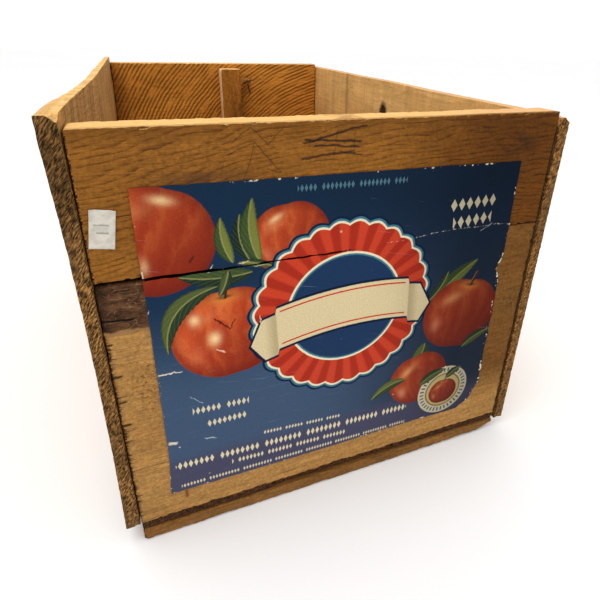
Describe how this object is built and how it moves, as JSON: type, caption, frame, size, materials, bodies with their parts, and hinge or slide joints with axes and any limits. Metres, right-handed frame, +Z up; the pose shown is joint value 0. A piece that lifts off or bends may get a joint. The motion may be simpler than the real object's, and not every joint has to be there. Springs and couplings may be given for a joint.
{
  "type": "wooden apple crate",
  "caption": "Open-topped softwood fruit crate with thick two-board ends, thin nailed sides, slatted bottom on cleats and a paper label on one end.",
  "frame": {"origin": "on the ground under the middle of the crate, at the underside of the bottom cleats", "axes": "+Z up, the labelled end faces -Y and the crate's length runs along Y, +X to the right as seen from the labelled end"},
  "size_m": [0.3118, 0.4952, 0.2846],
  "materials": {
    "front_upper_wood": "matte",
    "front_lower_wood": "matte",
    "rear_wood": "matte",
    "left_side_wood": "matte",
    "right_side_wood": "matte",
    "bottom_wood": "matte",
    "cleat_wood": "matte",
    "batten_wood": "matte",
    "label_paper": "satin",
    "sticker_paper": "matte",
    "nail_steel": "matte"
  },
  "bodies": {
    "root": {"front_end_upper_board": "front_upper_wood", "front_end_lower_board": "front_lower_wood", "rear_end_upper_board": "rear_wood", "rear_end_lower_board": "rear_wood", "rear_end_batten": "batten_wood", "left_side_board": "left_side_wood", "right_side_board": "right_side_wood", "bottom_board_left": "bottom_wood", "bottom_board_centre": "bottom_wood", "bottom_board_right": "bottom_wood", "front_bottom_cleat": "cleat_wood", "rear_bottom_cleat": "cleat_wood", "label": "label_paper", "price_sticker": "sticker_paper", "front_corrugated_fastener_1": "nail_steel", "front_corrugated_fastener_2": "nail_steel", "rear_corrugated_fastener_1": "nail_steel", "rear_corrugated_fastener_2": "nail_steel", "left_side_nail_front_1": "nail_steel", "left_side_nail_front_2": "nail_steel", "left_side_nail_front_3": "nail_steel", "left_side_nail_front_4": "nail_steel", "left_side_nail_front_5": "nail_steel", "left_side_nail_rear_1": "nail_steel", "left_side_nail_rear_2": "nail_steel", "left_side_nail_rear_3": "nail_steel", "left_side_nail_rear_4": "nail_steel", "left_side_nail_rear_5": "nail_steel", "right_side_nail_front_1": "nail_steel", "right_side_nail_front_2": "nail_steel", "right_side_nail_front_3": "nail_steel", "right_side_nail_front_4": "nail_steel", "right_side_nail_front_5": "nail_steel", "right_side_nail_rear_1": "nail_steel", "right_side_nail_rear_2": "nail_steel", "right_side_nail_rear_3": "nail_steel", "right_side_nail_rear_4": "nail_steel", "right_side_nail_rear_5": "nail_steel", "front_cleat_nail_1": "nail_steel", "front_cleat_nail_2": "nail_steel", "front_cleat_nail_3": "nail_steel", "front_cleat_nail_4": "nail_steel", "front_cleat_nail_5": "nail_steel", "front_cleat_nail_6": "nail_steel", "rear_cleat_nail_1": "nail_steel", "rear_cleat_nail_2": "nail_steel", "rear_cleat_nail_3": "nail_steel", "rear_cleat_nail_4": "nail_steel", "rear_cleat_nail_5": "nail_steel", "rear_cleat_nail_6": "nail_steel", "batten_nail_1": "nail_steel", "batten_nail_2": "nail_steel", "batten_nail_3": "nail_steel", "batten_nail_4": "nail_steel"}
  },
  "joints": []
}
